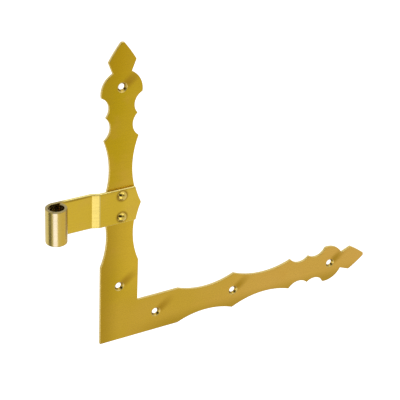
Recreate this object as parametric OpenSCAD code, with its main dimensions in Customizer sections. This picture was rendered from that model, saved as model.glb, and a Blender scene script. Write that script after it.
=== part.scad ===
// Ornamental corner hinge for a window or shutter leaf.
// An L-shaped plate of sheet steel is screwed over the corner of the leaf. A cranked strap,
// riveted to the front of its upright leg, ends in a rolled eye that drops over a pintle.
// Units are millimetres. The origin is the middle of the eye's bore, +Z runs up the bore,
// the plate lies in the X-Z plane and its front faces -Y.

/* [Sheet] */
// Thickness of the corner plate
plate_t = 2; // [1.5:0.1:3]
// Thickness of the hinge strap
strap_t = 2; // [1.5:0.1:3]

/* [Legs] */
// Length of each leg, from the outer corner to its blunt point
leg_len = 217.6; // [205:0.1:280]
// Width of a leg beside the corner
leg_w = 28; // [26:0.5:32]
// Fillet in the inner corner between the legs
inner_r = 1; // [0.5:0.1:3]
// End of the straight edges, from the outer corner
flare_at = 60; // [52:1:64]
// Middle of the pointed bulge, from the outer corner
bulge_at = 104.5; // [100:0.5:110]
// Width across the points of the bulge
bulge_w = 28.4; // [26:0.2:32]
// Depth of the sweep between the straight edge and the bulge
lower_sweep = 4.5; // [3:0.1:6]
// Depth of the sweep between the bulge and the barbs
upper_sweep = 5; // [3:0.1:6]

/* [Ornament at the end of a leg] */
// Points of the barbs, back from the leg's point
barb_back = 65.1; // [62:0.1:70]
// Width across the barbs
barb_w = 24.6; // [22:0.2:27]
// Points of the bumps, back from the leg's point
bump_back = 49.3; // [47:0.1:53]
// Width across the bumps
bump_w = 22.4; // [20:0.2:25]
// Depth of the notch between barb and bump
barb_notch = 3.8; // [2:0.1:4.5]
// Depth of the neck between bump and ear
neck_sweep = 3.7; // [2:0.1:4.4]
// Centre of the round ears, back from the leg's point
ear_back = 33.1; // [32:0.1:35]
// Radius of the round ears
ear_r = 14.5; // [13:0.1:16]
// Where the neck meets an ear, as an angle round the ear
ear_root = 98; // [95:1:105]
// Widest place of the spear head, back from the leg's point
spear_back = 12.4; // [11:0.2:15]
// Width of the spear head
spear_w = 19.4; // [16:0.2:22]
// Width of the spear's foot, half a radius out on the ears
spear_foot_w = 8.6; // [6:0.2:10]
// Rise of the spear's curved upper sides
spear_crown = 0.3; // [0.2:0.1:1.2]
// Width of the blunt point
tip_w = 2; // [1:0.2:4]

/* [Screw holes] */
// Diameter of the screw holes
hole_d = 4; // [3.6:0.1:6]
// Diameter of the countersinks at the front
sink_d = 7; // [6.6:0.1:8]
// Depth of the countersinks
sink_depth = 1.5; // [0.6:0.1:1.7]
// Screw holes beside the corner, from the outer corner
corner_hole_at = 42.5; // [36:0.5:50]
// Screw holes in the ears, back from the leg's point
ear_hole_back = 30; // [27:0.1:33]

/* [Strap and eye] */
// Height of the strap and of its eye
strap_h = 25; // [22:0.5:30]
// Diameter of the pintle that the eye drops over
pintle_d = 10; // [8:0.5:13]
// Clearance round the pintle
pintle_gap = 0.1; // [0.05:0.05:0.3]
// Distance from the eye's centre to the outer edge of the upright leg
eye_reach = 34; // [28:1:50]
// Where the rolled end of the strap stops, as an angle from +X
roll_end = 42; // [30:1:44]
// Slope of the crank
crank_angle = 22; // [18:1:40]
// Inside radius of the crank's bends
bend_r = 0.8; // [0.5:0.1:2]
// Distance from the crank to the outer edge of the upright leg
crank_gap = 1.3; // [0.5:0.1:4]

/* [Rivets] */
// Diameter of the rivet's shank
rivet_d = 4; // [3:0.1:5]
// Diameter of the rivet's head
rivet_head_d = 7; // [5.8:0.2:9]
// Height of the domed head
rivet_head_h = 2.4; // [1.2:0.1:3]
// Diameter of the hammered tail, flush with the plate's back
rivet_tail_d = 6; // [5.1:0.1:7]
// Depth of the hammered tail
rivet_tail_h = 1.2; // [0.6:0.1:1.4]
// Distance between the two rivets
rivet_pitch = 15.5; // [12:0.5:16]
// Clearance round shank and tail
rivet_fit = 0.05; // [0.02:0.01:0.1]

/* [Hidden] */
$fn = 128;
plate_colour = "#BE9A30";
strap_colour = "#CDAE3E";
rivet_colour = "#C8A63A";
// Length by which a cutting shape runs past the sheet
past = 1;

// The eye's bore and outside
bore_r = pintle_d / 2 + pintle_gap;
eye_r = bore_r + strap_t;
// The strap leaves the eye level with the plate's back, and the crank lifts it to the front
plate_back = eye_r;
plate_front = plate_back - plate_t;
strap_front = plate_front - strap_t;
// Straight slope between the crank's two bends, and where the crank starts and ends
crank_slope = (plate_t - (2 * bend_r + strap_t) * (1 - cos(crank_angle))) / sin(crank_angle);
crank_run = (2 * bend_r + strap_t) * sin(crank_angle) + crank_slope * cos(crank_angle);
crank_end = eye_reach - crank_gap;
crank_start = crank_end - crank_run;

// Points of a leg's outline, as distance from the outer corner and half width
leg_axis = leg_w / 2;
flare_tip = [flare_at, leg_w / 2];
bulge_tip = [bulge_at, bulge_w / 2];
barb_tip = [leg_len - barb_back, barb_w / 2];
bump_tip = [leg_len - bump_back, bump_w / 2];
ear_at = leg_len - ear_back;
ear_foot = [ear_at + ear_r * cos(ear_root), ear_r * sin(ear_root)];
spear_foot = [ear_at + ear_r / 2, spear_foot_w / 2];
spear_side = [leg_len - spear_back, spear_w / 2];
leg_point = [leg_len, tip_w / 2];
// Half width of the blank that the sweeps are cut from, and the places where it starts and ends
blank_h = max(leg_w, bulge_w, barb_w, bump_w) / 2 + past;
blank_start = (flare_tip.x + bulge_tip.x) / 2;
blank_end = (bump_tip.x + ear_foot.x) / 2;
// Places of screws and rivets on the plate, from the outer corner
ear_hole_at = leg_len - ear_hole_back;
level_holes = [[corner_hole_at, leg_axis], [bulge_at, leg_axis], [ear_hole_at, leg_axis]];
upright_holes = [[leg_axis, corner_hole_at], [leg_axis, ear_hole_at]];
upper_rivet_at = [leg_axis, bulge_at + rivet_pitch / 2];
lower_rivet_at = [leg_axis, bulge_at - rivet_pitch / 2];

// Unit vector to the left of the line from p to q
function left_of(p, q) = [p.y - q.y, q.x - p.x] / norm(q - p);
// Radius of the arc that rises by d over a chord of length c
function arc_radius(c, d) = (c * c / 4 + d * d) / (2 * d);
// Points round a circle of radius r, from angle a to angle b
function arc_points(r, a, b, steps = 8) =
    [for (i = [0 : steps]) let (t = a + (b - a) * i / steps) r * [cos(t), sin(t)]];
// The same, round the centre c
function bend(c, r, a, b) = [for (p = arc_points(r, a, b)) c + p];

// Disc to the left of the line from p to q, with both on its edge, that reaches d across the line
module arc_disc(p, q, d) {
    r = arc_radius(norm(q - p), d);
    translate((p + q) / 2 + left_of(p, q) * (r - d)) circle(r);
}

// The hollow sweeps along one edge of a leg
module edge_sweeps() {
    arc_disc(flare_tip, bulge_tip, lower_sweep);
    arc_disc(bulge_tip, barb_tip, upper_sweep);
    arc_disc(barb_tip, bump_tip, barb_notch);
    arc_disc(bump_tip, ear_foot, neck_sweep);
}

// Spear head: straight sides that spread from its foot, then two long arcs to the blunt point
module spear_head() {
    spread = (spear_side.y - spear_foot.y) / (spear_side.x - spear_foot.x);
    end_h = spear_foot.y + spread * (leg_len - spear_foot.x);
    intersection() {
        polygon([[spear_foot.x, -spear_foot.y], [leg_len, -end_h], [leg_len, end_h], spear_foot]);
        arc_disc(leg_point, spear_side, spear_crown);
        mirror([0, 1]) arc_disc(leg_point, spear_side, spear_crown);
    }
}

// Outline of a leg that lies along +X, with its axis on the X axis
module leg_outline() {
    difference() {
        union() {
            translate([0, -leg_axis]) square([blank_start, leg_w]);
            translate([blank_start, -blank_h]) square([blank_end - blank_start, 2 * blank_h]);
            translate([ear_at, 0]) circle(ear_r);
            spear_head();
        }
        edge_sweeps();
        mirror([0, 1]) edge_sweeps();
    }
}

module level_leg() {
    translate([0, leg_axis]) leg_outline();
}

module upright_leg() {
    mirror([1, -1]) level_leg();
}

// Fillet in the inner corner, with a square foot inside the sheet
module inner_fillet() {
    foot = [[-inner_r, inner_r], [-inner_r, -inner_r], [inner_r, -inner_r]];
    translate([leg_w, leg_w]) polygon(concat(foot, bend([inner_r, inner_r], inner_r, 270, 180)));
}

// Sheet of thickness t with its front at y, cut to an outline drawn from the plate's outer corner
module sheet(y, t) {
    translate([eye_reach, y + t, -bulge_at]) rotate([90, 0, 0]) linear_extrude(t) children();
}

// Puts a shape that points along +Z at a place on the plate, pointing out of the front at y
module at_front(place, y) {
    translate([eye_reach + place.x, y, place.y - bulge_at]) rotate([90, 0, 0]) children();
}

module screw_hole() {
    rotate_extrude() polygon([
        [0, past], [sink_d / 2, past], [sink_d / 2, 0], [hole_d / 2, -sink_depth],
        [hole_d / 2, -plate_t - past], [0, -plate_t - past]]);
}

// Shank and hammered tail of a rivet, grown by gap, from height top down past the plate's back
module rivet_body(top, below, gap) {
    tail = -strap_t - plate_t;
    rotate_extrude() polygon([
        [0, top], [rivet_d / 2 + gap, top], [rivet_d / 2 + gap, tail + rivet_tail_h],
        [rivet_tail_d / 2 + gap, tail], [rivet_tail_d / 2 + gap, tail - below], [0, tail - below]]);
}

module rivet() {
    dome_r = arc_radius(rivet_head_d, rivet_head_h);
    intersection() {
        translate([0, 0, rivet_head_h - dome_r]) sphere(dome_r);
        cylinder(d = rivet_head_d + past, h = rivet_head_h + past);
    }
    rivet_body(rivet_head_h / 2, 0, 0);
}

module rivet_holes() {
    at_front(upper_rivet_at, strap_front) rivet_body(past, past, rivet_fit);
    at_front(lower_rivet_at, strap_front) rivet_body(past, past, rivet_fit);
}

module corner_plate() {
    color(plate_colour) difference() {
        sheet(plate_front, plate_t) {
            level_leg();
            upright_leg();
            inner_fillet();
        }
        for (place = concat(level_holes, upright_holes)) at_front(place, plate_front) screw_hole();
        rivet_holes();
    }
}

// Eye, rolled from the strap's back round to the front, with a seam before it meets the strap again
module rolled_eye() {
    difference() {
        circle(eye_r);
        circle(bore_r);
        polygon(concat([[0, 0]], arc_points(2 * eye_r, roll_end, 90)));
    }
}

// Outline of the strap seen from above, from the eye through the crank and on past the leg's edge
module strip_outline() {
    end_x = eye_reach + leg_axis + blank_h;
    slope_from = [crank_start, bore_r - bend_r];
    slope_to = [crank_end, plate_front + bend_r];
    front = concat(
        [[0, bore_r]], bend(slope_from, bend_r, 90, 90 - crank_angle),
        bend(slope_to, bend_r + strap_t, 270 - crank_angle, 270), [[end_x, strap_front]]);
    back = concat(
        [[end_x, plate_front]], bend(slope_to, bend_r, 270, 270 - crank_angle),
        bend(slope_from, bend_r + strap_t, 90 - crank_angle, 90), [[0, eye_r]]);
    polygon(concat(front, back));
}

module hinge_strap() {
    color(strap_colour) difference() {
        intersection() {
            translate([0, 0, -strap_h / 2]) linear_extrude(strap_h) {
                rolled_eye();
                strip_outline();
            }
            union() {
                translate([-2 * eye_r, -2 * eye_r, -strap_h])
                    cube([2 * eye_r + eye_reach + leg_axis, 4 * eye_r, 2 * strap_h]);
                sheet(strap_front - past, strap_t + 2 * past) upright_leg();
            }
        }
        rivet_holes();
    }
}

module upper_rivet() {
    color(rivet_colour) at_front(upper_rivet_at, strap_front) rivet();
}

module lower_rivet() {
    color(rivet_colour) at_front(lower_rivet_at, strap_front) rivet();
}

corner_plate();
hinge_strap();
upper_rivet();
lower_rivet();
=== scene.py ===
import math

import bmesh
import bpy
from mathutils import Matrix, Quaternion, Vector


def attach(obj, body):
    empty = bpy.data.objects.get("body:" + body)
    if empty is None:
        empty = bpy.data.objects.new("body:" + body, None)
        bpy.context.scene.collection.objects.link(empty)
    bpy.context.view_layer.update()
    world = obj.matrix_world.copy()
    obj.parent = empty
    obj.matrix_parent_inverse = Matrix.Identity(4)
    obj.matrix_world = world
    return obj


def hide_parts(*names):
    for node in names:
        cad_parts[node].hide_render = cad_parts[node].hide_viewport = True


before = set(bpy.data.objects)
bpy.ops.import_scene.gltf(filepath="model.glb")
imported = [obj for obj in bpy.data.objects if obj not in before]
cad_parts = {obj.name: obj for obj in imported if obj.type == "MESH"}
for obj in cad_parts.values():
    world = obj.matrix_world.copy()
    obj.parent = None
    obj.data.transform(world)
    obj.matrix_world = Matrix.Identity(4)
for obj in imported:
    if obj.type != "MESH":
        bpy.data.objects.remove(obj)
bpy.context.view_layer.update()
scene = bpy.context.scene
scene.view_settings.view_transform = "Standard"
print("frame loaded:", ", ".join(sorted(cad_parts)))

mm = 0.001


# directions round the hinge: turn is degrees from straight ahead (-Y) towards +X, rise is above level
def towards(turn, rise):
    a, e = math.radians(turn), math.radians(rise)
    return Vector((math.sin(a) * math.cos(e), -math.cos(a) * math.cos(e), math.sin(e)))


# camera at the photograph's viewing angle
cameraSet = {"turn": -31.39, "rise": 28.68, "roll": 2.68, "lens": 127.4, "sensor": 36, "clip": (0.05, 20),
             "place": (-0.3247, -0.7037, 0.4437)}


def makeCamera():
    cam = bpy.data.objects.new("camera", bpy.data.cameras.new("camera"))
    scene.collection.objects.link(cam)
    cam.data.lens, cam.data.sensor_width = cameraSet["lens"], cameraSet["sensor"]
    cam.data.clip_start, cam.data.clip_end = cameraSet["clip"]
    look = -towards(cameraSet["turn"], cameraSet["rise"])
    roll = Quaternion((0, 0, 1), math.radians(cameraSet["roll"]))
    cam.rotation_mode = "QUATERNION"
    cam.rotation_quaternion = look.to_track_quat("-Z", "Y") @ roll
    cam.location = cameraSet["place"]
    scene.camera = cam


makeCamera()
print("camera set")


# short cuts for node trees
def addNode(tree, kind, **settings):
    node = tree.nodes.new(kind)
    for key, value in settings.items():
        setattr(node, key, value)
    return node


def plug(tree, source, target):
    tree.links.new(source, target)


def setOrPlug(tree, value, socket):
    if isinstance(value, (int, float, tuple)):
        socket.default_value = value
    else:
        plug(tree, value, socket)


def mathNode(tree, operation, first, second=None, clamp=False):
    node = addNode(tree, "ShaderNodeMath", operation=operation, use_clamp=clamp)
    setOrPlug(tree, first, node.inputs[0])
    if second is not None:
        setOrPlug(tree, second, node.inputs[1])
    return node.outputs[0]


def times(tree, *factors):
    product = factors[0]
    for factor in factors[1:]:
        product = mathNode(tree, "MULTIPLY", product, factor)
    return product


def distance(tree, first, second):
    squares = [mathNode(tree, "POWER", value, 2.0) for value in (first, second)]
    return mathNode(tree, "SQRT", mathNode(tree, "ADD", *squares))


def mixColour(tree, factor, first, second):
    node = addNode(tree, "ShaderNodeMix", data_type="RGBA")
    for socket, value in ((node.inputs[0], factor), (node.inputs[6], first), (node.inputs[7], second)):
        setOrPlug(tree, value, socket)
    return node.outputs[2]


def tint(tree, factor, colour, paint):
    return mixColour(tree, factor, colour, (*paint, 1))


def ramp(tree, value, low, high, toLow=0.0, toHigh=1.0):
    node = addNode(tree, "ShaderNodeMapRange", interpolation_type="SMOOTHSTEP")
    plug(tree, value, node.inputs["Value"])
    for name, number in (("From Min", low), ("From Max", high), ("To Min", toLow), ("To Max", toHigh)):
        node.inputs[name].default_value = number
    return node.outputs["Result"]


# ramp over a span in millimetres: from, to, and the strength at each
def fade(tree, value, span):
    low, high, toLow, toHigh = span
    return ramp(tree, value, low * mm, high * mm, toLow, toHigh)


def objectPlace(tree):
    return addNode(tree, "ShaderNodeTexCoord").outputs["Object"]


def axesOf(tree, vector):
    split = addNode(tree, "ShaderNodeSeparateXYZ")
    plug(tree, vector, split.inputs[0])
    return split.outputs


# mesh object from a finished shape
def asObject(shape, name):
    mesh = bpy.data.meshes.new(name)
    shape.to_mesh(mesh)
    shape.free()
    thing = bpy.data.objects.new(name, mesh)
    scene.collection.objects.link(thing)
    return thing


# white stage: world and floor are white to the camera and to the metal, plain soft light otherwise
stageSet = {"floorAt": -0.8, "floorSize": 6.0, "floorTone": 0.6, "floorLift": 0.48, "floorClear": 0.3,
            "ambient": 0.9}


def seenAsBackground(tree):
    path = addNode(tree, "ShaderNodeLightPath")
    seen = mathNode(tree, "MAXIMUM", path.outputs["Is Camera Ray"], path.outputs["Is Glossy Ray"])
    return mathNode(tree, "MAXIMUM", seen, path.outputs["Is Transmission Ray"])


def makeStage():
    world = bpy.data.worlds.new("whiteRoom")
    scene.world = world
    world.use_nodes = True
    tree = world.node_tree
    back = tree.nodes["Background"]
    back.inputs["Color"].default_value = (1, 1, 1, 1)
    lift = times(tree, seenAsBackground(tree), 1 - stageSet["ambient"])
    plug(tree, mathNode(tree, "ADD", lift, stageSet["ambient"]), back.inputs["Strength"])

    paint = bpy.data.materials.new("floorPaint")
    paint.use_nodes = True
    tree = paint.node_tree
    tree.nodes.clear()
    tone = stageSet["floorTone"]
    matte = addNode(tree, "ShaderNodeBsdfDiffuse")
    matte.inputs["Color"].default_value = (tone, tone, tone, 1)
    glow = addNode(tree, "ShaderNodeEmission")
    lift = times(tree, seenAsBackground(tree), stageSet["floorLift"])
    direct = addNode(tree, "ShaderNodeLightPath").outputs["Is Camera Ray"]
    clear = times(tree, direct, stageSet["floorClear"])
    plug(tree, mathNode(tree, "ADD", lift, clear), glow.inputs["Strength"])
    both = addNode(tree, "ShaderNodeAddShader")
    plug(tree, matte.outputs[0], both.inputs[0])
    plug(tree, glow.outputs[0], both.inputs[1])
    plug(tree, both.outputs[0], addNode(tree, "ShaderNodeOutputMaterial").inputs["Surface"])

    shape = bmesh.new()
    bmesh.ops.create_grid(shape, x_segments=2, y_segments=2, size=stageSet["floorSize"] / 2)
    bmesh.ops.translate(shape, verts=shape.verts, vec=(0, 0, stageSet["floorAt"]))
    floor = asObject(shape, "floor")
    floor.data.materials.append(paint)


makeStage()


# soft boxes and flags, each aimed at the hinge; width and height in metres
lampSet = {
    "frontBox": {"turn": -35, "rise": -29, "far": 0.75, "width": 0.52, "height": 0.46, "glow": 1.2},
    "highBox": {"turn": 44, "rise": 47, "far": 0.9, "width": 0.36, "height": 0.36, "glow": 1.3},
    "topBox": {"turn": -22, "rise": 72, "far": 0.9, "width": 0.9, "height": 0.4, "glow": 0.6},
}
flagSet = {
    "leftFlag": {"turn": -92, "rise": -28, "far": 0.6, "width": 0.33, "height": 0.6, "tone": 0.22},
    "leftVeil": {"turn": -66, "rise": -28, "far": 0.62, "width": 0.19, "height": 0.6, "tone": 0.78},
    "rightFlag": {"turn": 36, "rise": -7, "far": 1.1, "width": 1.3, "height": 0.42, "tone": 0.85},
    "cameraFlag": {"turn": -42, "rise": 26, "far": 1.4, "width": 1.9, "height": 1.15, "tone": 0.03},
    "roomFlag": {"turn": 22, "rise": 12, "far": 1.3, "width": 1.0, "height": 0.5, "tone": 0.15},
    "floorFlag": {"turn": 60, "rise": -86, "far": 0.7, "width": 0.5, "height": 0.5, "tone": 0.25},
    "ceilingFlag": {"turn": -110, "rise": 68, "far": 1.2, "width": 0.8, "height": 0.7, "tone": 0.1},
}


def aimed(turn, rise, far):
    way = towards(turn, rise)
    return Matrix.Translation(way * far) @ way.to_track_quat("Z", "Y").to_matrix().to_4x4()


def makeLamps():
    for name, lamp in lampSet.items():
        data = bpy.data.lights.new(name, "AREA")
        data.shape, data.size, data.size_y = "RECTANGLE", lamp["width"], lamp["height"]
        data.energy = lamp["glow"] * math.pi * lamp["width"] * lamp["height"]
        box = bpy.data.objects.new(name, data)
        box.matrix_world = aimed(lamp["turn"], lamp["rise"], lamp["far"])
        box.visible_camera = False
        scene.collection.objects.link(box)
    for name, flag in flagSet.items():
        cloth = bpy.data.materials.new(name + "Cloth")
        cloth.use_nodes = True
        tree = cloth.node_tree
        tree.nodes.clear()
        glow = addNode(tree, "ShaderNodeEmission")
        glow.inputs["Color"].default_value = (1, 1, 1, 1)
        glow.inputs["Strength"].default_value = flag["tone"]
        plug(tree, glow.outputs[0], addNode(tree, "ShaderNodeOutputMaterial").inputs["Surface"])
        shape = bmesh.new()
        bmesh.ops.create_grid(shape, x_segments=1, y_segments=1, size=0.5)
        bmesh.ops.scale(shape, verts=shape.verts, vec=(flag["width"], flag["height"], 1))
        bmesh.ops.transform(shape, verts=shape.verts, matrix=aimed(flag["turn"], flag["rise"], flag["far"]))
        card = asObject(shape, name)
        card.data.materials.append(cloth)
        card.visible_camera = card.visible_diffuse = card.visible_shadow = False


makeLamps()
print("stage and lamps set")

# shared finish: yellow passivation over zinc, with slow drifts of tone, a rolled grain and a fine peel
passivationSet = {
    "slowScale": 22, "slowDetail": 2, "slowSpan": (0.3, 0.7, -0.12, 0.12),
    "blushScale": 95, "blushDetail": 3, "blushSpan": (0.5, 0.78, 0.0, 0.35),
    "grainScale": 60, "grainDetail": 3, "grainStretch": (1.0, 1.0, 14.0),
    "grainSpan": (0.25, 0.75, -0.035, 0.035), "grainHeight": 0.5,
    "peelScale": 700, "peelDetail": 2, "peelHeight": 0.35,
    "coatIor": 1.55, "bumpDistance": 0.00003,
}


def makePassivation():
    group = bpy.data.node_groups.new("yellowPassivation", "ShaderNodeTree")
    sockets = {
        "INPUT": (("Place", "NodeSocketVector"), ("Deep", "NodeSocketColor"), ("Pale", "NodeSocketColor"),
                  ("Blush", "NodeSocketColor"), ("Drift", "NodeSocketFloat"), ("Gloss", "NodeSocketFloat")),
        "OUTPUT": (("Colour", "NodeSocketColor"), ("Roughness", "NodeSocketFloat"),
                   ("Height", "NodeSocketFloat")),
    }
    for way, names in sockets.items():
        for name, kind in names:
            group.interface.new_socket(name, in_out=way, socket_type=kind)
    inside = addNode(group, "NodeGroupInput")
    outside = addNode(group, "NodeGroupOutput")
    p = passivationSet

    def cloud(kind, stretch=None):
        noise = addNode(group, "ShaderNodeTexNoise")
        noise.inputs["Scale"].default_value = p[kind + "Scale"]
        noise.inputs["Detail"].default_value = p[kind + "Detail"]
        source = inside.outputs["Place"]
        if stretch:
            turned = addNode(group, "ShaderNodeMapping")
            turned.inputs["Scale"].default_value = stretch
            plug(group, source, turned.inputs["Vector"])
            source = turned.outputs["Vector"]
        plug(group, source, noise.inputs["Vector"])
        return noise.outputs["Fac"]

    slow = ramp(group, cloud("slow"), *p["slowSpan"])
    tone = mathNode(group, "ADD", inside.outputs["Drift"], slow, clamp=True)
    body = mixColour(group, tone, inside.outputs["Deep"], inside.outputs["Pale"])
    blush = ramp(group, cloud("blush"), *p["blushSpan"])
    plug(group, mixColour(group, blush, body, inside.outputs["Blush"]), outside.inputs["Colour"])
    grain = cloud("grain", p["grainStretch"])
    streak = ramp(group, grain, *p["grainSpan"])
    plug(group, mathNode(group, "ADD", inside.outputs["Gloss"], streak), outside.inputs["Roughness"])
    peel = times(group, cloud("peel"), p["peelHeight"])
    plug(group, mathNode(group, "ADD", peel, times(group, grain, p["grainHeight"])), outside.inputs["Height"])
    return group


passivation = makePassivation()


# one coat of the finish: returns the material, its tree, the finish node and the shader
def coatOf(name, finish):
    material = bpy.data.materials.new(name)
    material.use_nodes = True
    tree = material.node_tree
    shader = tree.nodes["Principled BSDF"]
    shader.inputs["Metallic"].default_value = 1.0
    shader.inputs["Coat Weight"].default_value = finish["coat"]
    shader.inputs["Coat Roughness"].default_value = finish["coatRoughness"]
    shader.inputs["Coat IOR"].default_value = passivationSet["coatIor"]
    coat = addNode(tree, "ShaderNodeGroup", node_tree=passivation)
    plug(tree, objectPlace(tree), coat.inputs["Place"])
    for key, socket in (("deep", "Deep"), ("pale", "Pale"), ("blush", "Blush")):
        coat.inputs[socket].default_value = (*finish[key], 1)
    coat.inputs["Gloss"].default_value = finish["roughness"]
    plug(tree, coat.outputs["Roughness"], shader.inputs["Roughness"])
    bump = addNode(tree, "ShaderNodeBump")
    bump.inputs["Strength"].default_value = finish["bump"]
    bump.inputs["Distance"].default_value = passivationSet["bumpDistance"]
    plug(tree, coat.outputs["Height"], bump.inputs["Height"])
    plug(tree, bump.outputs["Normal"], shader.inputs["Normal"])
    return material, tree, coat, shader


# how far the surface faces along an axis, as a ramp between two amounts
def facingAlong(tree, axis, span):
    normal = axesOf(tree, addNode(tree, "ShaderNodeNewGeometry").outputs["Normal"])
    return ramp(tree, mathNode(tree, "ABSOLUTE", normal[axis]), *span)


# roughness of the finish, rising to that of a sheared edge
def roughEdges(tree, coat, shader, edge, finish):
    dull = times(tree, edge, finish["edgeRoughness"] - finish["roughness"])
    plug(tree, mathNode(tree, "ADD", coat.outputs["Roughness"], dull), shader.inputs["Roughness"])


# mesh work: points within weld (metres) and faces within flat (degrees) become one
meshSet = {"weld": 0.000002, "flat": 0.3, "evenWeight": 80}


def bendOf(edge):
    return math.degrees(edge.calc_face_angle()) if edge.is_manifold else 0.0


def atHole(edge, soft):
    point = edge.verts[0].co
    reach = soft["holeReach"] * mm
    return any(math.hypot(point.x - x * mm, point.z - z * mm) < reach for x, z in soft["holes"])


# edge-softened copy of a CAD node, as a piece of its own; the outline is rounded more than the holes
def softened(name, node, soft):
    shape = bmesh.new()
    shape.from_mesh(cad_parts[node].data)
    bmesh.ops.remove_doubles(shape, verts=shape.verts, dist=meshSet["weld"])
    bmesh.ops.dissolve_limit(shape, angle_limit=math.radians(meshSet["flat"]), verts=shape.verts,
                             edges=shape.edges)
    bend = {e: bendOf(e) for e in shape.edges}
    # the short facets beside a corner of the outline become one, so that the rounding has room there
    corners = [v for v in shape.verts if sum(bend[e] > soft["from"] for e in v.link_edges) > 2]
    crowded = [e for e in shape.edges if meshSet["flat"] < bend[e] <= soft["from"]
               and any(0 < (v.co - c.co).length < soft["clear"] * mm for v in e.verts for c in corners)]
    bmesh.ops.dissolve_edges(shape, edges=crowded, use_verts=True)
    rims = [e for e in shape.edges if bendOf(e) > soft["from"]]
    holes = [e for e in rims if atHole(e, soft)]
    outline = [e for e in rims if not atHole(e, soft)]
    for edges, radius, clamp in ((outline, soft["radius"], False), (holes, soft["holeRadius"], True)):
        bmesh.ops.bevel(shape, geom=edges, offset=radius * mm, offset_type="OFFSET", segments=soft["steps"],
                        profile=0.5, affect="EDGES", material=-1, clamp_overlap=clamp)
    bmesh.ops.recalc_face_normals(shape, faces=shape.faces)
    print(name, "edges softened:", len(outline), "of the outline,", len(holes), "of the holes")
    piece = asObject(shape, name)
    piece.data.shade_smooth()
    even = piece.modifiers.new("evenShading", "WEIGHTED_NORMAL")
    even.mode, even.weight, even.keep_sharp = "FACE_AREA", meshSet["evenWeight"], False
    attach(piece, "root")
    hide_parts(node)
    return piece


# rivets, in millimetres; the plate and the strap have their holes at rivetAt
rivetSet = {
    "head": 7.0, "crown": 2.4, "shank": 4.0, "tail": 6.0, "tailDepth": 1.2, "front": 3.1, "back": 7.1,
    "across": 48.0, "lift": 7.75, "rings": 12, "around": 64, "weld": 0.000001, "crease": 35,
    "deep": (0.54, 0.38, 0.045), "pale": (0.62, 0.45, 0.07), "blush": (0.56, 0.37, 0.06), "drift": 0.5,
    "roughness": 0.14, "coat": 0.6, "coatRoughness": 0.08, "bump": 0.025,
}
rivetAt = tuple((rivetSet["across"], lift) for lift in (rivetSet["lift"], -rivetSet["lift"]))

# screw holes and the painted shade at them: a dark streak up to the right of each hole, and darker
# countersinks
holeSet = {
    "at": ((48, -62.0), (48, 83.1), (76.5, -90.5), (138.5, -90.5), (221.6, -90.5)),
    "streakTurn": 36, "streakStart": (1.0, 4.0, 0.0, 1.0), "streakEnd": (4.0, 19.0, 0.95, 0.0),
    "streakAside": (0.6, 5.0, 1.0, 0.0), "streakFront": (5.6, 6.4, 1.0, 0.0),
    "sinkAcross": (3.5, 3.75, 1.0, 0.0), "sinkFront": (5.2, 5.7, 0.0, 1.0), "sinkBack": (6.9, 7.05, 1.0, 0.0),
}


def makeHoleShade():
    group = bpy.data.node_groups.new("screwHoleShade", "ShaderNodeTree")
    group.interface.new_socket("Place", in_out="INPUT", socket_type="NodeSocketVector")
    for name in ("StreakShade", "Recess"):
        group.interface.new_socket(name, in_out="OUTPUT", socket_type="NodeSocketFloat")
    place = addNode(group, "NodeGroupInput").outputs["Place"]
    outside = addNode(group, "NodeGroupOutput")
    depth = axesOf(group, place)["Y"]
    within = times(group, fade(group, depth, holeSet["sinkFront"]), fade(group, depth, holeSet["sinkBack"]))
    streakShade = recess = 0.0
    for x, z in holeSet["at"]:
        local = addNode(group, "ShaderNodeMapping", vector_type="TEXTURE")
        local.inputs["Location"].default_value = (x * mm, 0, z * mm)
        local.inputs["Rotation"].default_value = (0, -math.radians(holeSet["streakTurn"]), 0)
        plug(group, place, local.inputs["Vector"])
        way = axesOf(group, local.outputs["Vector"])
        along, aside = way["X"], mathNode(group, "ABSOLUTE", way["Z"])
        streak = times(group, fade(group, along, holeSet["streakStart"]),
                       fade(group, along, holeSet["streakEnd"]), fade(group, aside, holeSet["streakAside"]))
        streakShade = mathNode(group, "MAXIMUM", streakShade, streak)
        sunk = times(group, fade(group, distance(group, along, aside), holeSet["sinkAcross"]), within)
        recess = mathNode(group, "MAXIMUM", recess, sunk)
    plug(group, times(group, streakShade, fade(group, depth, holeSet["streakFront"])), outside.inputs["StreakShade"])
    plug(group, recess, outside.inputs["Recess"])
    return group


holeShade = makeHoleShade()

# corner plate: rounding of its edges, colours of its finish, and where the tones lie, in millimetres
plateSet = {
    "from": 25, "radius": 0.4, "clear": 1.0, "steps": 3,
    "holes": holeSet["at"] + rivetAt, "holeReach": 4.2, "holeRadius": 0.12,
    "deep": (0.465, 0.306, 0.003), "pale": (0.594, 0.348, 0.064), "blush": (0.55, 0.31, 0.04),
    "edge": (0.70, 0.54, 0.18), "tip": (0.468, 0.285, 0.003), "shade": (0.36, 0.215, 0.008),
    "paintedSheen": (0.60, 0.388, 0.026), "streakShade": (0.365, 0.205, 0.008), "recess": (0.40, 0.27, 0.045),
    "roughness": 0.27, "edgeRoughness": 0.5, "coat": 0.1, "coatRoughness": 0.12, "bump": 0.025,
    "driftAcross": 3.5, "driftUp": -1.6, "driftStart": -0.013, "tipUp": (78, 100, 0.0, 1.0),
    "outerAcross": (35, 50, 1.0, 0.0), "outerLow": (-35, 20, 0.78, 0.1), "outerHigh": (40, 80, 0.0, 0.3),
    "levelUp": (-104, -93, 0.75, 0.0), "levelAlong": (45, 90, 0.0, 1.0),
    "innerAcross": (43, 59, 0.0, 0.8), "innerEnd": (64, 90, 1.0, 0.0),
    "innerLow": (-82, -50, 0.0, 1.0), "innerHigh": (-30, 40, 1.0, 0.5), "flatSide": (0.75, 0.995),
}


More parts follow.
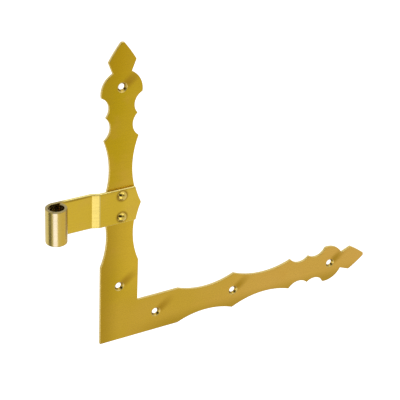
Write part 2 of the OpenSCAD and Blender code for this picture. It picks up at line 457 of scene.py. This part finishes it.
def makePlate():
    p = plateSet
    piece = softened("cornerPlate", "corner_plate", p)
    material, tree, coat, shader = coatOf("plateGold", p)
    place = objectPlace(tree)
    axes = axesOf(tree, place)
    x, z = axes["X"], axes["Z"]
    drift = mathNode(tree, "ADD", times(tree, x, p["driftAcross"]), times(tree, z, p["driftUp"]))
    plug(tree, mathNode(tree, "ADD", drift, p["driftStart"]), coat.inputs["Drift"])
    # warmer towards the upper point
    colour = tint(tree, fade(tree, z, p["tipUp"]), coat.outputs["Colour"], p["tip"])
    # painted shade along the outer edges of both legs, painted sheen along the inner side of the upright one
    upright = mathNode(tree, "ADD", fade(tree, z, p["outerLow"]), fade(tree, z, p["outerHigh"]))
    outerShade = times(tree, fade(tree, x, p["outerAcross"]), upright)
    levelShade = times(tree, fade(tree, z, p["levelUp"]), fade(tree, x, p["levelAlong"]))
    colour = tint(tree, mathNode(tree, "MAXIMUM", outerShade, levelShade), colour, p["shade"])
    innerSheen = times(tree, fade(tree, x, p["innerAcross"]), fade(tree, x, p["innerEnd"]),
                  fade(tree, z, p["innerLow"]), fade(tree, z, p["innerHigh"]))
    colour = tint(tree, innerSheen, colour, p["paintedSheen"])
    # painted shade in dark streaks up from the holes, pale sheared edges, and countersinks with painted shade
    # that are smoother than those edges
    holeShading = addNode(tree, "ShaderNodeGroup", node_tree=holeShade)
    plug(tree, place, holeShading.inputs["Place"])
    colour = tint(tree, holeShading.outputs["StreakShade"], colour, p["streakShade"])
    edge = mathNode(tree, "SUBTRACT", 1.0, facingAlong(tree, "Y", p["flatSide"]))
    colour = tint(tree, edge, colour, p["edge"])
    sheared = mathNode(tree, "SUBTRACT", edge, holeShading.outputs["Recess"], clamp=True)
    roughEdges(tree, coat, shader, sheared, p)
    colour = tint(tree, holeShading.outputs["Recess"], colour, p["recess"])
    plug(tree, colour, shader.inputs["Base Color"])
    piece.data.materials.append(material)


makePlate()

# hinge strap with its rolled eye: the same kinds of values
strapSet = {
    "from": 25, "radius": 0.75, "clear": 1.6, "steps": 3,
    "holes": rivetAt, "holeReach": 4.2, "holeRadius": 0.12,
    "deep": (0.55, 0.368, 0.020), "pale": (0.61, 0.412, 0.035), "blush": (0.58, 0.36, 0.05),
    "edge": (0.85, 0.735, 0.27), "rim": (0.38, 0.30, 0.12), "eyeSheen": (0.595, 0.455, 0.122),
    "eyeGold": (0.535, 0.353, 0.045), "eyeHighlight": (0.48, 0.405, 0.28), "crank": (0.57, 0.44, 0.11),
    "creviceShade": (0.28, 0.165, 0.008), "bore": (0.46, 0.38, 0.19),
    "roughness": 0.25, "edgeRoughness": 0.5, "coat": 0.15, "coatRoughness": 0.10, "bump": 0.025,
    "paleLeft": (22, 34, 0.7, 0.15), "paleRight": (44, 54, 0.0, 0.85),
    "eyeOut": (7.4, 11.1, 1.0, 0.0), "boreOut": (5.15, 5.35, 1.0, 0.0), "paleSide": (-0.75, 0.3, 1.0, 0.0),
    "highlightTurn": -30, "highlightHalf": 17, "crankStart": (27.0, 27.8, 0.0, 1.0), "crankEnd": (32.1, 32.9, 1.0, 0.0),
    "crankAngle": 22, "crankFront": (16.8, 17.6, 1.0, 0.0),
    "gapSide": (0.36, 0.6, 0.0, 0.8), "gapUp": (-9, -4, 0.0, 1.0), "gapFront": (0.0, 2.0, 1.0, 0.0),
    "lineUp": (10.4, 11.2, 0.0, 1.0), "lineAlong": (18, 36, 0.75, 0.15), "cutSide": (0.2, 0.65),
    "ring": (rivetSet["head"] / 2, rivetSet["head"] / 2 + 1.5, 0.8, 0.0),
}


def makeStrap():
    s = strapSet
    piece = softened("hingeStrap", "hinge_strap", s)
    material, tree, coat, shader = coatOf("strapGold", s)
    x, y, z = axesOf(tree, objectPlace(tree))
    # paler towards both ends than beside the crank
    drift = mathNode(tree, "ADD", fade(tree, x, s["paleLeft"]), fade(tree, x, s["paleRight"]))
    plug(tree, drift, coat.inputs["Drift"])
    out = distance(tree, x, y)
    onEye = fade(tree, out, s["eyeOut"])
    side = mathNode(tree, "DIVIDE", x, out)
    # a gold tone on the eye, paler on its left, lit side as painted sheen, and a pale painted highlight down
    # its front
    colour = tint(tree, onEye, coat.outputs["Colour"], s["eyeGold"])
    colour = tint(tree, times(tree, onEye, ramp(tree, side, *s["paleSide"])), colour, s["eyeSheen"])
    aim = towards(s["highlightTurn"], 0)
    front = mathNode(tree, "ADD", times(tree, x, aim.x), times(tree, y, aim.y))
    highlight = ramp(tree, mathNode(tree, "DIVIDE", front, out), math.cos(math.radians(s["highlightHalf"])), 1.0)
    colour = tint(tree, times(tree, onEye, highlight), colour, s["eyeHighlight"])
    # paler slope of the crank, on the front only: painted highlight
    behind = mathNode(tree, "ADD", y, times(tree, x, math.tan(math.radians(s["crankAngle"]))))
    slopeHighlight = times(tree, fade(tree, x, s["crankStart"]), fade(tree, x, s["crankEnd"]),
                  fade(tree, behind, s["crankFront"]))
    colour = tint(tree, slopeHighlight, colour, s["crank"])
    # painted shade in the gap where the rolled end comes back to the strap
    gap = times(tree, onEye, ramp(tree, side, *s["gapSide"]), fade(tree, z, s["gapUp"]),
                fade(tree, y, s["gapFront"]))
    colour = tint(tree, gap, colour, s["creviceShade"])
    # painted shade: a darker line below the upper edge, fading away from the eye
    lineShade = times(tree, fade(tree, z, s["lineUp"]), fade(tree, x, s["lineAlong"]),
                 mathNode(tree, "SUBTRACT", 1.0, onEye))
    colour = tint(tree, lineShade, colour, s["creviceShade"])
    # painted shade: a darker ring round each rivet head
    for across, lift in rivetAt:
        away = distance(tree, mathNode(tree, "SUBTRACT", x, across * mm),
                        mathNode(tree, "SUBTRACT", z, lift * mm))
        colour = tint(tree, fade(tree, away, s["ring"]), colour, s["creviceShade"])
    # cut edges, paler along the strap and duller on the eye's rim
    edge = facingAlong(tree, "Z", s["cutSide"])
    cut = mixColour(tree, onEye, (*s["edge"], 1), (*s["rim"], 1))
    colour = mixColour(tree, edge, colour, cut)
    roughEdges(tree, coat, shader, edge, s)
    # dull inside the bore
    plug(tree, tint(tree, fade(tree, out, s["boreOut"]), colour, s["bore"]), shader.inputs["Base Color"])
    piece.data.materials.append(material)


makeStrap()


# rivets: domed head on the strap, shank, hammered tail flush with the plate's back
def makeRivet(name, node, at, material):
    r = rivetSet
    head, crown, shank = r["head"] / 2, r["crown"], r["shank"] / 2
    ball = (head * head + crown * crown) / (2 * crown)
    reach = math.asin(head / ball)
    # outline from the crown's middle to its edge, then the shank and the tail
    rim = []
    for i in range(r["rings"]):
        a = reach * i / r["rings"]
        rim.append((ball * math.sin(a), r["front"] - crown + ball * (1 - math.cos(a))))
    rim += [(head, r["front"]), (shank, r["front"]), (shank, r["back"] - r["tailDepth"]),
            (r["tail"] / 2, r["back"]), (0, r["back"])]
    shape = bmesh.new()
    verts = [shape.verts.new((out * mm, depth * mm, 0)) for out, depth in rim]
    edges = [shape.edges.new(pair) for pair in zip(verts, verts[1:])]
    bmesh.ops.spin(shape, geom=verts + edges, cent=(0, 0, 0), axis=(0, 1, 0), angle=2 * math.pi,
                   steps=r["around"], use_merge=True)
    bmesh.ops.remove_doubles(shape, verts=shape.verts, dist=r["weld"])
    bmesh.ops.translate(shape, verts=shape.verts, vec=(at[0] * mm, 0, at[1] * mm))
    bmesh.ops.recalc_face_normals(shape, faces=shape.faces)
    piece = asObject(shape, name)
    piece.data.shade_smooth()
    piece.data.set_sharp_from_angle(angle=math.radians(r["crease"]))
    piece.data.materials.append(material)
    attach(piece, "root")
    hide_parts(node)


def makeRivets():
    material, tree, coat, shader = coatOf("rivetGold", rivetSet)
    coat.inputs["Drift"].default_value = rivetSet["drift"]
    plug(tree, coat.outputs["Colour"], shader.inputs["Base Color"])
    upper, lower = rivetAt
    makeRivet("upperRivet", "upper_rivet", upper, material)
    makeRivet("lowerRivet", "lower_rivet", lower, material)
    print("rivets made")


makeRivets()

bpy.context.view_layer.update()
